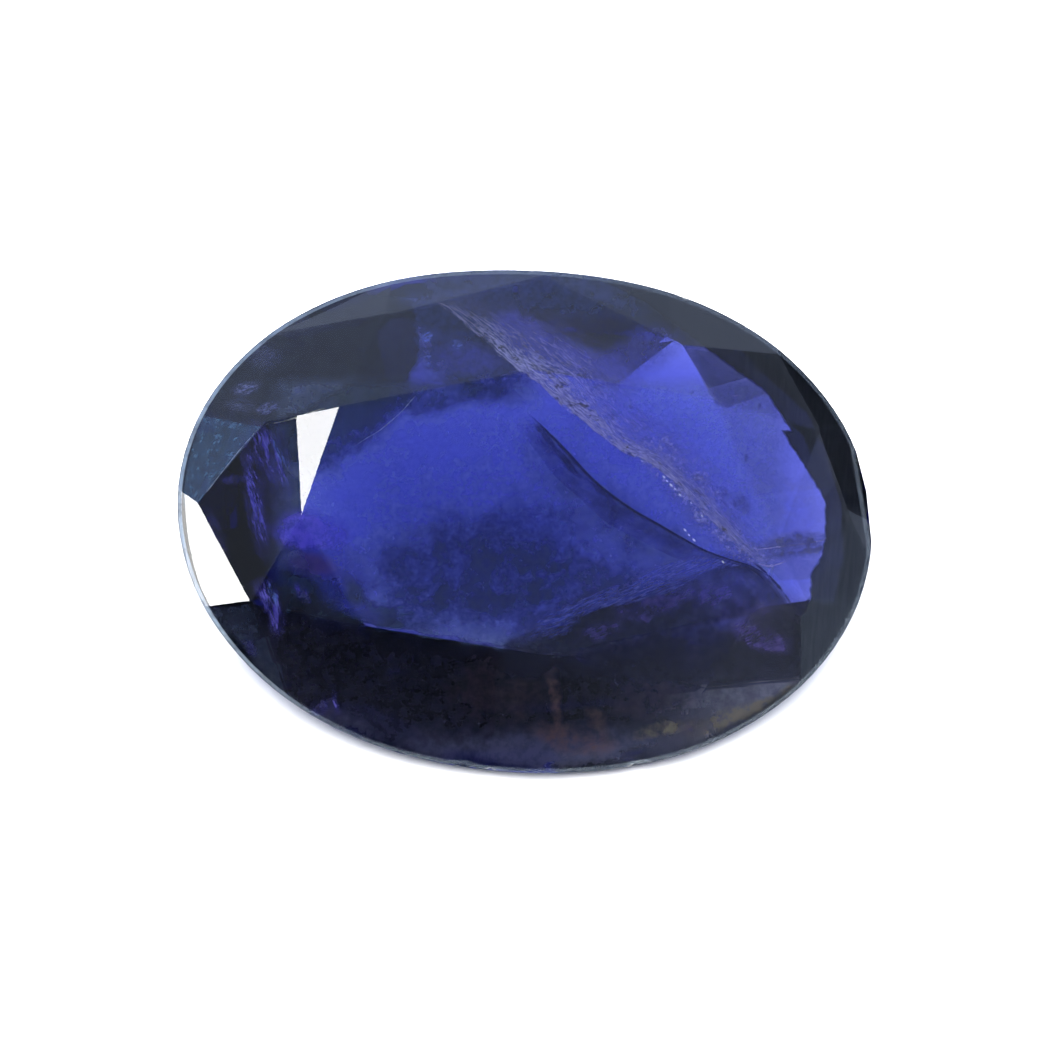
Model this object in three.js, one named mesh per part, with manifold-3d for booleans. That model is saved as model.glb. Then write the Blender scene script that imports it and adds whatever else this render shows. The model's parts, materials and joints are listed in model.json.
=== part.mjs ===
// A cut iolite: an oval stone with a brilliant crown above its girdle and a pavilion of long facets below
// it, all ground flat and polished. It lies on the broad pavilion facet under its lower edge.
import * as THREE from "three";
import { mergeVertices } from "three/addons/utils/BufferGeometryUtils.js";
import Module from "manifold-3d";

// Sizes are in millimetres and angles in degrees. The stone is worked with its table facing +Z, its long
// axis near +X and the upper edge of its girdle at zero. A bearing is the compass direction that a facet
// slopes towards, counted from +X towards +Y, and a slope is its tilt out of the plane of the girdle.
const HALF_LENGTH = 8;
const HALF_WIDTH = 5.76;
const OUTLINE_TURN = -4.1; // the long axis is a little askew to the facet that the stone lies on
const OUTLINE_SWELLS = [
  { lobes: 4, share: 0.009, bearing: 44 }, // square shoulders, as a share of the radius
  { lobes: 3, share: 0.005, bearing: 34 }, // and a little lopsided
];
const OUTLINE_STEPS = 128;

const GIRDLE_HEIGHT = 0.32;
const CROWN_HEIGHT = 1.79; // table above the girdle's upper edge

// The eight crown mains are kites. Each has its inner corner on the table and its outer tip near the girdle,
// and a three-sided star facet, with a slope of its own, between it and the next.
const CROWN_MAINS = [
  { bearing: 176, slope: 32, corner: [-5.07, 0.05], tip: [-7.45, 0.45], starSlope: 22.3 },
  { bearing: 131, slope: 35.5, corner: [-4.19, 2.58], tip: [-5.76, 4.22], starSlope: 19 },
  { bearing: 86, slope: 32, corner: [0.2, 3.4], tip: [0.38, 5.56], starSlope: 24.3 },
  { bearing: 55, slope: 40, corner: [4.31, 2.72], tip: [5.73, 3.78], starSlope: 19.5 },
  { bearing: -4, slope: 40.5, corner: [5.7, -0.54], tip: [7.45, 0], starSlope: 32.5 },
  { bearing: -42.3, slope: 41.7, corner: [5.22, -1.99], tip: [6.36, -3.63], starSlope: 12.6 },
  { bearing: -94, slope: 32, corner: [0.7, -3.06], tip: [0.36, -5.61], starSlope: 24 },
  { bearing: -122, slope: 33.5, corner: [-3.63, -2.35], tip: [-5.41, -3.97], starSlope: 17.7 },
];

// The belt is the steep first tier of the pavilion. The long facets start where it ends and run to the keel.
const BELT_FACETS = 16;
const BELT_SLOPE = 50;
const BELT_WIDTH = 0.91;
const BELT_WIDTH_RIGHT = 1.4; // the belt is broader where the stone's right end turns up steeply
const PAVILION_DEPTH = 4.28; // keel below the girdle's lower edge
const KEEL_START = -2.6;
const KEEL_END = -0.7;
const LONG_FACETS_LEFT = [128, 152, 176, -158, -134];
const LONG_FACETS_RIGHT = [55, 42, 27, 4, -20];
const CORNER_FACET = -50;
const BACK_FACET = 88;
const RESTING_FACET = -90;

// No facet is ground exactly to its mark, so no two edges meet in a perfect point. The error goes up and
// down from one facet to the next.
const GRINDING_ERROR = 0.012;
const ERROR_STEP = 2.4;

// Small chips out of the girdle's edges, by bearing, level, length along the edge and depth into it.
const CHIPS = [
  { bearing: -65.6, level: -0.1, length: 0.75, depth: 0.1 },
  { bearing: -104, level: -0.2, length: 0.5, depth: 0.09 },
  { bearing: -98, level: 0, length: 0.3, depth: 0.07 },
  { bearing: -178.6, level: 0, length: 0.4, depth: 0.08 },
  { bearing: 87.6, level: 0.1, length: 0.5, depth: 0.07 },
  { bearing: 55, level: -0.1, length: 0.45, depth: 0.06 },
];

const GIRDLE_FOOT = -GIRDLE_HEIGHT;
const KEEL_LEVEL = GIRDLE_FOOT - PAVILION_DEPTH;
const ROUGH_SPARE = 1; // how far the rough column reaches past the table and past the keel
const WASTE_EDGE = 60; // edge of the block that is everything beyond a grinding plane
const UP = new THREE.Vector3(0, 0, 1);

const wasm = await Module();
wasm.setup();

function solidFrom(geometry) {
  geometry.deleteAttribute("normal");
  geometry.deleteAttribute("uv");
  const merged = mergeVertices(geometry);
  return new wasm.Manifold(
    new wasm.Mesh({
      numProp: 3,
      vertProperties: merged.attributes.position.array,
      triVerts: new Uint32Array(merged.index.array),
    }),
  );
}

function heading(bearing) {
  const angle = THREE.MathUtils.degToRad(bearing);
  return new THREE.Vector3(Math.cos(angle), Math.sin(angle), 0);
}

// The oval outline: an ellipse turned a little, with slightly square shoulders.
function outlinePoint(bearing) {
  const turned = THREE.MathUtils.degToRad(bearing - OUTLINE_TURN);
  let radius = 1 / Math.hypot(Math.cos(turned) / HALF_LENGTH, Math.sin(turned) / HALF_WIDTH);
  const swells = OUTLINE_SWELLS.map(
    (swell) => swell.share * Math.cos(swell.lobes * THREE.MathUtils.degToRad(bearing - swell.bearing)),
  );
  radius *= 1 + swells[0] + swells[1];
  return heading(bearing).multiplyScalar(radius);
}

const OUTLINE = Array.from({ length: OUTLINE_STEPS }, (_, i) => outlinePoint((360 * i) / OUTLINE_STEPS));

// How far the outline reaches towards a bearing.
function outlineReach(bearing) {
  const way = heading(bearing);
  return Math.max(...OUTLINE.map((point) => point.dot(way)));
}

// The plane of a facet that slopes towards a bearing and passes through a point. Side is 1 on the crown and
// -1 on the pavilion.
function facet(bearing, slope, through, side) {
  const tilt = THREE.MathUtils.degToRad(slope);
  const normal = heading(bearing).multiplyScalar(Math.sin(tilt)).addScaledVector(UP, side * Math.cos(tilt));
  return new THREE.Plane().setFromNormalAndCoplanarPoint(normal, through);
}

// The plane of a facet through three points, facing away from the middle of the stone.
function facetThrough(a, b, c) {
  const plane = new THREE.Plane().setFromCoplanarPoints(a, b, c);
  return plane.constant > 0 ? plane.negate() : plane;
}

function meetPoint(p, q, r) {
  const qr = new THREE.Vector3().crossVectors(q.normal, r.normal);
  const rp = new THREE.Vector3().crossVectors(r.normal, p.normal);
  const pq = new THREE.Vector3().crossVectors(p.normal, q.normal);
  return new THREE.Vector3()
    .addScaledVector(qr, -p.constant)
    .addScaledVector(rp, -q.constant)
    .addScaledVector(pq, -r.constant)
    .divideScalar(p.normal.dot(qr));
}

// Between two mains, a star and two break facets fill the crown. Both breaks run from the shoulder, where
// the star meets the two mains, to the girdle halfway between the mains' tips.
function crownFacets() {
  const mains = CROWN_MAINS.map((main) => {
    const corner = new THREE.Vector3(...main.corner, CROWN_HEIGHT);
    const plane = facet(main.bearing, main.slope, corner, 1);
    const tip = new THREE.Vector3(...main.tip, 0);
    tip.z = -plane.distanceToPoint(tip) / plane.normal.z;
    return { corner, plane, tip, starSlope: main.starSlope };
  });
  const planes = mains.map((main) => main.plane);
  mains.forEach((main, i) => {
    const next = mains[(i + 1) % mains.length];
    const side = next.corner.clone().sub(main.corner);
    const outward = THREE.MathUtils.radToDeg(Math.atan2(side.x, -side.y));
    const star = facet(outward, main.starSlope, main.corner, 1);
    const shoulder = meetPoint(main.plane, next.plane, star);
    const halfway = Math.atan2(main.tip.y + next.tip.y, main.tip.x + next.tip.x);
    const foot = outlinePoint(THREE.MathUtils.radToDeg(halfway));
    planes.push(star, facetThrough(shoulder, main.tip, foot), facetThrough(shoulder, foot, next.tip));
  });
  planes.push(new THREE.Plane(UP.clone(), -CROWN_HEIGHT));
  return planes;
}

function beltFacet(bearing) {
  const rim = heading(bearing).multiplyScalar(outlineReach(bearing)).setZ(GIRDLE_FOOT);
  return facet(bearing, BELT_SLOPE, rim, -1);
}

// A long facet's slope follows from how far it runs between the belt and its end of the keel.
function longFacet(bearing, keelPlace, beltWidth = BELT_WIDTH) {
  const keel = new THREE.Vector3(keelPlace, 0, KEEL_LEVEL);
  const run = outlineReach(bearing) - beltWidth - keel.dot(heading(bearing));
  const drop = PAVILION_DEPTH - beltWidth * Math.tan(THREE.MathUtils.degToRad(BELT_SLOPE));
  return facet(bearing, THREE.MathUtils.radToDeg(Math.atan2(drop, run)), keel, -1);
}

function pavilionFacets() {
  return [
    ...Array.from({ length: BELT_FACETS }, (_, i) => beltFacet((360 * i) / BELT_FACETS)),
    ...LONG_FACETS_LEFT.map((bearing) => longFacet(bearing, KEEL_START)),
    ...LONG_FACETS_RIGHT.map((bearing) => longFacet(bearing, KEEL_END, BELT_WIDTH_RIGHT)),
    longFacet(CORNER_FACET, KEEL_END),
    longFacet(BACK_FACET, KEEL_END),
    longFacet(RESTING_FACET, KEEL_END),
  ];
}

function wasteBeyond(plane) {
  const block = new THREE.BoxGeometry(WASTE_EDGE, WASTE_EDGE, WASTE_EDGE).translate(0, 0, WASTE_EDGE / 2);
  block.applyQuaternion(new THREE.Quaternion().setFromUnitVectors(UP, plane.normal));
  const start = plane.coplanarPoint(new THREE.Vector3());
  return solidFrom(block.translate(start.x, start.y, start.z));
}

function chipFrom({ bearing, level, length, depth }) {
  const rim = outlinePoint(bearing);
  const chip = new THREE.IcosahedronGeometry(1).scale(depth, length / 2, length / 3);
  chip.rotateZ(THREE.MathUtils.degToRad(bearing)).translate(rim.x, rim.y, level);
  return solidFrom(chip);
}

function cutStone() {
  const depth = CROWN_HEIGHT - KEEL_LEVEL + 2 * ROUGH_SPARE;
  const rough = new THREE.ExtrudeGeometry(new THREE.Shape(OUTLINE), { depth, bevelEnabled: false });
  let stone = solidFrom(rough.translate(0, 0, KEEL_LEVEL - ROUGH_SPARE));
  [...crownFacets(), ...pavilionFacets()].forEach((plane, i) => {
    plane.constant += GRINDING_ERROR * Math.sin(ERROR_STEP * i);
    stone = stone.subtract(wasteBeyond(plane));
  });
  for (const chip of CHIPS) stone = stone.subtract(chipFrom(chip));
  return stone;
}

function geometryOf(solid) {
  const mesh = solid.getMesh();
  const geometry = new THREE.BufferGeometry();
  geometry.setAttribute("position", new THREE.BufferAttribute(mesh.vertProperties, 3));
  geometry.setIndex(new THREE.BufferAttribute(mesh.triVerts, 1));
  return geometry;
}

const stone = new THREE.Mesh(
  geometryOf(cutStone()),
  new THREE.MeshStandardMaterial({ color: 0x3a35a0, roughness: 0.08, metalness: 0, flatShading: true }),
);
stone.name = "iolite";

// The stone is turned until its resting facet is level underneath, then stood on it with the origin under
// the middle of its box.
const resting = longFacet(RESTING_FACET, KEEL_END).normal;
stone.rotation.x = Math.atan2(-resting.y, -resting.z);
const box = new THREE.Box3().setFromObject(stone, true);
const middle = box.getCenter(new THREE.Vector3());
stone.position.set(-middle.x, -middle.y, -box.min.z);

const part = new THREE.Group();
part.add(stone);

export default part;
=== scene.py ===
# %% [markdown]
# # A cut iolite on a pale floor
# This lesson dresses one faceted gemstone, a single crystal of iolite, ground to flat facets and polished.
# It lies on one of the broad facets underneath. Almost all that the eye sees of it is either a mirror
# image in a facet or light that has crossed the violet-blue crystal. So the lesson is about flat facets,
# absorption, the cracks and clouds inside the crystal, and a small studio for the facets to mirror.

import json
import math

import bpy
from mathutils import Matrix, Vector, noise
from mathutils.bvhtree import BVHTree


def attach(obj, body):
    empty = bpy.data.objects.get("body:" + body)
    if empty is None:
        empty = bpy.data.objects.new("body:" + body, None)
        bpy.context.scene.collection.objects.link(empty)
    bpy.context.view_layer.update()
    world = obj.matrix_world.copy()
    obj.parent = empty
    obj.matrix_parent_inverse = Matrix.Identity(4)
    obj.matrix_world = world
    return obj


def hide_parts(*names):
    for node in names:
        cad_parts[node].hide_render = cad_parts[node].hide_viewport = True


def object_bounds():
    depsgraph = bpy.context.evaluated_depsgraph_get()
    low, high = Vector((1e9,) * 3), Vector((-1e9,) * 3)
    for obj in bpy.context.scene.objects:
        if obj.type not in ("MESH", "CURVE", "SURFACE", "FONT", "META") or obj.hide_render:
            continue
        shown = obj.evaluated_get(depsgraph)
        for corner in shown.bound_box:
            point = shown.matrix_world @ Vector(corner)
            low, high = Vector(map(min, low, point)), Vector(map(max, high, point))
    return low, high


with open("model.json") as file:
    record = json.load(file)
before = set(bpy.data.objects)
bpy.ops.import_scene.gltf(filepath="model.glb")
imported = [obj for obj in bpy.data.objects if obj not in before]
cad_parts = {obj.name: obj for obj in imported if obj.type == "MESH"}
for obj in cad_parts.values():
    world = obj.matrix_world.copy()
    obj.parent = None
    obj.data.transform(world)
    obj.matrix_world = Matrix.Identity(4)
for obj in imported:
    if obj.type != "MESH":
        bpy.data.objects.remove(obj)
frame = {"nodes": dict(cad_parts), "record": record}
cad_low, cad_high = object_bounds()
MM = 0.001
scene = bpy.context.scene


def in_mm(lengths, digits=2):
    return tuple(round(length / MM, digits) for length in lengths)


def add_object(name, data):
    added = bpy.data.objects.new(name, data)
    scene.collection.objects.link(added)
    return added


print("box in mm", in_mm(cad_high - cad_low))

# %% [markdown]
# ## The stone's own directions
# A cutter thinks of a stone with its table, the big flat facet, facing up. This stone lies tilted, so its
# own directions differ from the room's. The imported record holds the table's facing as a mount, and the
# directions along the stone's length and across it follow from that.

# %% Directions of the stone
mounts = {mount["name"]: mount for mount in frame["record"]["mounts"]}
table_way = Vector(mounts["table_face"]["axis"]).normalized()
length_way = Vector((1, 0, 0))
width_way = table_way.cross(length_way)

cad_stone = frame["nodes"]["iolite"]
corners = [vertex.co.copy() for vertex in cad_stone.data.vertices]


def reach(way):
    """The least and the greatest distance of the stone's corners along a direction."""
    levels = [corner.dot(way) for corner in corners]
    return min(levels), max(levels)


stone_left, stone_right = reach(length_way)
stone_near, stone_far = reach(width_way)
stone_foot, table_level = reach(table_way)
print("table faces", tuple(round(part, 3) for part in table_way))
print("length, width, depth in mm", in_mm(
    (stone_right - stone_left, stone_far - stone_near, table_level - stone_foot)))

# %% [markdown]
# ## The camera
# The photograph looks straight down on the table from afar, so a camera with a long lens stands off along
# the table's direction. How far follows from the scale: the stone is known in metres and its picture in
# pixels. The line of sight through any pixel follows too, and later puts each flaw where the photograph
# shows it.

# %% Camera
PICTURE_EDGE = 1042  # the photograph's width and height, in pixels
PICTURE_LEFT, PICTURE_RIGHT = 177, 872  # the stone's ends in the photograph
PICTURE_TOP, PICTURE_BOTTOM = 272, 771
LENS_MM, SENSOR_MM = 400, 36
CLIP_SHARE = 100  # the camera sees from a hundredth of its distance to a hundred times it
CROWN_HEIGHT = 1.78 * MM  # the girdle, which makes the outline, lies this far below the table

pixel = (stone_right - stone_left) / (PICTURE_RIGHT - PICTURE_LEFT)
distance = PICTURE_EDGE * pixel * LENS_MM / SENSOR_MM
girdle_level = table_level - CROWN_HEIGHT
middle_x, middle_y = (PICTURE_LEFT + PICTURE_RIGHT) / 2, (PICTURE_TOP + PICTURE_BOTTOM) / 2
middle = (length_way * (stone_left + stone_right) / 2 + width_way * (stone_near + stone_far) / 2
          + table_way * girdle_level)


def on_girdle_level(x, y):
    """The point in the plane of the girdle that the photograph shows at a pixel."""
    return middle + length_way * (x - middle_x) * pixel + width_way * (middle_y - y) * pixel


eye = on_girdle_level(PICTURE_EDGE / 2, PICTURE_EDGE / 2) + table_way * distance
camera_data = bpy.data.cameras.new("camera")
camera_data.lens, camera_data.sensor_width = LENS_MM, SENSOR_MM
camera_data.clip_start, camera_data.clip_end = distance / CLIP_SHARE, distance * CLIP_SHARE
camera = add_object("camera", camera_data)
facing = Matrix((length_way, width_way, table_way)).transposed().to_4x4()
camera.matrix_world = Matrix.Translation(eye) @ facing
scene.camera = camera
print("camera stands off", round(distance / MM, 1), "mm")


def sight(x, y):
    """The direction from the camera to what the photograph shows at a pixel."""
    return (on_girdle_level(x, y) - eye).normalized()


# %% [markdown]
# ## Looking into the stone and off its facets
# At a facet some of the light turns back as in a mirror, and the rest bends into the stone by Snell's law.
# One helper gives the point that is seen at a pixel some way inside the crystal. The other gives the point
# in the room that a facet mirrors at a pixel, which is where a studio card has to stand to show there.

# %% Bent and mirrored lines of sight
REFRACTION = 1.545
STEP_IN = 0.001 * MM  # clears the facet that was just crossed
ROOM_SHARE = 0.8  # a flaw keeps clear of the far side of the stone
DRAW_IN = 0.01
TABLE_PIXEL = (557, 531)
PROBE_RUN = 100 * MM

skin = BVHTree.FromPolygons(corners, [tuple(face.vertices) for face in cad_stone.data.polygons])


def bent(ray, facet_way):
    """A ray's direction after it has entered the stone through a facet."""
    share = 1 / REFRACTION
    straight = -ray.dot(facet_way)
    root = math.sqrt(1 - share**2 * (1 - straight**2))
    return (ray * share + facet_way * (share * straight - root)).normalized()


def inside(x, y, depth):
    """The point that is seen at a pixel, a depth into the stone along the bent line of sight."""
    place, facet_way, _, _ = skin.ray_cast(eye, sight(x, y))
    while place is None:  # a pixel beside the stone is drawn in towards its middle
        x, y = x + (middle_x - x) * DRAW_IN, y + (middle_y - y) * DRAW_IN
        place, facet_way, _, _ = skin.ray_cast(eye, sight(x, y))
    turned = bent(sight(x, y), facet_way)
    _, _, _, room = skin.ray_cast(place + turned * STEP_IN, turned)
    return place + turned * min(depth, ROOM_SHARE * (room or 0))


def mirrored(facet_pixel, x, y, run):
    """The point that is a run away from the plane of a facet, where that plane mirrors it at a pixel."""
    place, facet_way, _, _ = skin.ray_cast(eye, sight(*facet_pixel))
    ray = sight(x, y)
    start = eye + ray * ((place - eye).dot(facet_way) / ray.dot(facet_way))
    return start + ray.reflect(facet_way) * run


print("the table mirrors, in mm", in_mm(mirrored(TABLE_PIXEL, *TABLE_PIXEL, PROBE_RUN), 0))

# %% [markdown]
# ## A way to write shader sums
# A finish is mostly arithmetic on patterns. Wired by hand each sum is a box with two cables, so a small
# class wraps a node's output and lets plain Python signs add the Math nodes. One function adds every node:
# it sets the node's options first and then fills or links its sockets.

# %% Shader helpers
class Pattern:
    """A node's output that can be added, subtracted and multiplied."""

    def __init__(self, tree, socket):
        self.tree, self.socket = tree, socket

    def node(self, kind, settings=None, output=0, **sockets):
        return add_node(self.tree, kind, settings, output, **sockets)

    def sum(self, operation, first, second):
        return self.node("Math", {"operation": operation}, Value=first, Value_001=second)

    def __add__(self, other):
        return self.sum("ADD", self, other)

    def __radd__(self, other):
        return self.sum("ADD", other, self)

    def __sub__(self, other):
        return self.sum("SUBTRACT", self, other)

    def __rsub__(self, other):
        return self.sum("SUBTRACT", other, self)

    def __mul__(self, other):
        return self.sum("MULTIPLY", self, other)

    def __rmul__(self, other):
        return self.sum("MULTIPLY", other, self)

    def fade(self, start, end):
        """0 up to start and 1 from end on, with a soft step between. Start may be the greater one."""
        return self.node("MapRange", {"interpolation_type": "SMOOTHSTEP"}, Value=self, From_Min=start,
                         From_Max=end)

    def capped(self, limit):
        """The same pattern, but never above a limit."""
        return self.sum("MINIMUM", self, limit)

    def or_more(self, other):
        """The greater of this pattern and another one."""
        return self.sum("MAXIMUM", self, other)

    def stretched(self, *scale):
        """The same coordinates, scaled along each axis."""
        return self.node("Mapping", None, 0, Vector=self, Scale=scale)

    def part(self, axis):
        """One axis of the coordinates, 0 for X and 1 for Y."""
        return self.node("SeparateXYZ", None, axis, Vector=self)

    def warped(self, scale, amount):
        """The same coordinates, pushed about by clouds, which makes shapes laid on them ragged."""
        push = self.node("TexNoise", None, 1, Vector=self, Scale=scale, Detail=4)
        push = self.node("VectorMath", {"operation": "SUBTRACT"}, 0, Vector=push,
                         Vector_001=(0.5, 0.5, 0.5))
        return self.node("VectorMath", {"operation": "MULTIPLY_ADD"}, 0, Vector=push,
                         Vector_001=(amount, amount, 0), Vector_002=self)

    def dot(self, way):
        """How far the coordinates lie along a direction."""
        return self.node("VectorMath", {"operation": "DOT_PRODUCT"}, 1, Vector=self, Vector_001=way)

    def turned(self, wide, long, turn, middle=(0, 0, 0)):
        """The coordinates from a middle, in units so wide and so long, along axes turned clockwise."""
        return self.node("Mapping", {"vector_type": "TEXTURE"}, 0, Vector=self, Location=middle,
                         Rotation=(0, 0, math.radians(turn)), Scale=(wide, long, 1))

    def patch(self, x, y, wide, high, turn):
        """A soft oval: 1 in its middle, 0 outside. Turn is its long axis's angle in degrees, clockwise."""
        near = self.turned(wide, high, turn, (x, y, 0))
        return near.node("TexGradient", {"gradient_type": "SPHERICAL"}, 1, Vector=near).fade(0, 0.7)

    def patches(self, marks):
        """The sum of soft ovals. Each mark is x, y, half width, half height, turn and strength."""
        total = 0
        for x, y, wide, high, turn, strength in marks:
            total = self.patch(x, y, wide, high, turn) * strength + total
        return total

    def side(self, start, end, soft):
        """0 on the left of the line from start to end, as seen in the picture, and 1 on its right."""
        run = Vector(end) - Vector(start)
        across = Vector((-run.y, run.x, 0)).normalized()
        level = across.dot(Vector((*start, 0)))
        return self.dot(across).fade(level - soft, level + soft)

    def within(self, outline, soft=1.5):
        """1 inside a bulging outline, whose corners go clockwise round the picture, and 0 outside it."""
        share = 1
        for start, end in zip(outline, outline[1:] + outline[:1]):
            share = self.side(start, end, soft) * share
        return share

    def clouds(self, scale, detail, roughness, low, high):
        """Noise, made bolder: 0 where it is below low and 1 where it is above high."""
        return self.node("TexNoise", None, 0, Vector=self, Scale=scale, Detail=detail,
                         Roughness=roughness).fade(low, high)

    def fibres(self, wide, long, turn, low, high):
        """Noise drawn out into fibres, so wide and so long, at an angle in degrees to the second axis."""
        return self.turned(wide, long, turn).clouds(1, 5, 0.65, low, high)

    def mixed(self, first, second):
        """The first colour where this pattern is 0, the second where it is 1."""
        return self.node("Mix", {"data_type": "RGBA"}, 2, Factor_Float=self,
                         A_Color=first, B_Color=second)


def fill(tree, node, **sockets):
    """Links patterns to a node's sockets, or sets their values. Each name is a socket's identifier, with
    underscores for spaces."""
    for name, value in sockets.items():
        socket = next(one for one in node.inputs if one.identifier.replace(" ", "_") == name)
        if isinstance(value, Pattern):
            tree.links.new(value.socket, socket)
        else:
            socket.default_value = (*value, 1) if socket.type == "RGBA" else value


def add_node(tree, kind, settings=None, output=0, **sockets):
    """Adds a shader node: its options are set first, then its sockets are filled or linked."""
    node = tree.nodes.new("ShaderNode" + kind)
    for name, value in (settings or {}).items():
        setattr(node, name, value)
    fill(tree, node, **sockets)
    return Pattern(tree, node.outputs[output]) if node.outputs else node


def coordinates(tree, kind):
    """Where a point lies: its way in the world, its place on a sheet ("uv") or in metres ("object")."""
    return add_node(tree, "TexCoord", None, {"way": 0, "uv": 2, "object": 3}[kind])


def new_finish(name, **sockets):
    """A material with one Principled shader. Returns the material, its node tree and the shader."""
    material = bpy.data.materials.new(name)
    material.use_nodes = True
    tree = material.node_tree
    shader = tree.nodes["Principled BSDF"]
    fill(tree, shader, **sockets)
    return material, tree, shader


# %% [markdown]
# ## Sheets laid by rule
# Cards and cracks are both thin sheets. One helper adds a grid, which has the faces and the UV map
# already, and lays each of its points where a rule says. The rule gets the point's place along the sheet
# and across it, both from 0 to 1, as the UV values are. Many sheets lie along a route, a list of pixels of
# the photograph that a smooth curve joins.

# %% Laid sheets
def pick(*chosen):
    """Selects these objects alone and makes the first one active."""
    bpy.ops.object.select_all(action="DESELECT")
    for item in chosen:
        item.select_set(True)
    bpy.context.view_layer.objects.active = chosen[0] if chosen else None


def laid_sheet(name, columns, rows, rule):
    """A grid with so many columns and rows, whose points lie where the rule says."""
    pick()
    bpy.ops.mesh.primitive_grid_add(x_subdivisions=columns, y_subdivisions=rows, size=1)
    sheet = bpy.context.object
    sheet.name = name
    for vertex in sheet.data.vertices:
        vertex.co = rule(vertex.co.x + 0.5, vertex.co.y + 0.5)
    return sheet


def along(route, share):
    """The pixel at a share of the way along a route, on a smooth curve through its points."""
    place = share * (len(route) - 1)
    i = min(int(place), len(route) - 2)
    t = place - i
    before, start, end, after = (
        Vector(route[min(max(j, 0), len(route) - 1)]) for j in (i - 1, i, i + 1, i + 2)
    )
    return 0.5 * (2 * start + (end - before) * t + (2 * before - 5 * start + 4 * end - after) * t**2
                  + (3 * start - before - 3 * end + after) * t**3)


# %% [markdown]
# ## The floor
# The stone lies on something plain and white, lit so strongly that the photograph shows it as pure white.
# A patch of the plane glows, as white acrylic does where light from the back spreads in it, and that light
# comes up through the window of the stone. The glow ends in a soft line before the stone's front edge,
# sooner on the right, so the stone's lower right is dark. The plane sits a hair below the stone, because
# two surfaces at the same height flicker.

# %% Floor
FLOOR_EDGE = 3.0
AIR_GAP = 0.04 * MM
GLOW_BACK, GLOW_BACK_SOFT = 8, 2  # in millimetres, as are the other places of the glow
GLOW_LEFT, GLOW_RIGHT, GLOW_SIDE_SOFT = 7.5, 6.6, 1.5
GLOW_FRONT_LEFT, GLOW_FRONT_RIGHT, GLOW_FRONT_SOFT = -1.1, 0.8, 0.5
FRONT_TURN = (-1.5, 3)  # between these places the front line goes from its left to its right value
GLOW_LEVEL, GLOW_EXTRA = 0.95, 0.14  # the glow at the left, and what the right has more
EXTRA_RISE = (-2, 4)

pick()
bpy.ops.mesh.primitive_plane_add(size=FLOOR_EDGE, location=(0, 0, -AIR_GAP))
floor = bpy.context.object
floor.name = "floor"
acrylic, acrylic_tree, acrylic_shader = new_finish("white_acrylic", Base_Color=(0.9, 0.9, 0.9),
                                                   Roughness=0.4)
places = coordinates(acrylic_tree, "object").stretched(1 / MM, 1 / MM, 1 / MM)
across_floor = places.part(0)
back_floor = places.part(1)
front_line = across_floor.fade(*FRONT_TURN) * (GLOW_FRONT_RIGHT - GLOW_FRONT_LEFT) + GLOW_FRONT_LEFT
glow = (back_floor - front_line).fade(-GLOW_FRONT_SOFT, GLOW_FRONT_SOFT)
glow = glow * back_floor.fade(GLOW_BACK, GLOW_BACK - GLOW_BACK_SOFT)
glow = glow * across_floor.fade(-GLOW_LEFT, GLOW_SIDE_SOFT - GLOW_LEFT)
glow = glow * across_floor.fade(GLOW_RIGHT, GLOW_RIGHT - GLOW_SIDE_SOFT)
glow = glow * (across_floor.fade(*EXTRA_RISE) * GLOW_EXTRA + GLOW_LEVEL)
fill(acrylic_tree, acrylic_shader, Emission_Color=glow, Emission_Strength=1)
floor.data.materials.append(acrylic)
print("the floor's glow is", GLOW_LEFT + GLOW_RIGHT, "mm wide")

# %% [markdown]
# ## The room
# The facets that look to the back and up mirror an even pale blue-grey, and those that look to the front
# mirror next to nothing. So the light came from behind and above, and the camera's side of the room was
# dim. The world does this with one gradient, and the shoulder facet at the upper right mirrors a soft dark
# spot in it. A large soft lamp, overhead and a little to the front, brings the floor up to white and gives
# the stone its shadow. It lights diffuse surfaces alone, so it shows in no facet.

# %% Room light
FRONT_LIGHT = 0.3
BACK_LIGHT = 0.85
LIGHT_RISE = (-0.3, 0.1)  # from how far back a way points the light grows, and where it is full
SKY_COLOUR = (0.84, 1.0, 1.42)
DARK_BEARING, DARK_HEIGHT, DARK_RADIUS = (math.radians(angle) for angle in (52, 33, 17))
DARK_SOFT = 0.25
DARK_SHARE = 0.7  # how much of the light the dark spot takes
LAMP_RADIUS, LAMP_HEIGHT, LAMP_POWER = 0.13, 0.4, 6.4
LAMP_BACK = -0.12  # below zero is to the front
BOUNCES, DIFFUSE_BOUNCES = 20, 4
FILMS_CROSSED = 48  # as many films as a ray may cross

world = bpy.data.worlds.new("room")
scene.world = world
world.use_nodes = True
room = world.node_tree
room.nodes.clear()
way = coordinates(room, "way")
backness = way.part(1).fade(*LIGHT_RISE)
dark_way = Vector((math.cos(DARK_BEARING), math.sin(DARK_BEARING), math.tan(DARK_HEIGHT))).normalized()
dark_rim = [math.cos(share * DARK_RADIUS) for share in (1 + DARK_SOFT, 1 - DARK_SOFT)]
dark = way.dot(dark_way).fade(*dark_rim)
sky = add_node(room, "Background", Color=SKY_COLOUR,
               Strength=(backness * (BACK_LIGHT - FRONT_LIGHT) + FRONT_LIGHT) * (1 - dark * DARK_SHARE))
add_node(room, "OutputWorld", Surface=sky)

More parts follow.
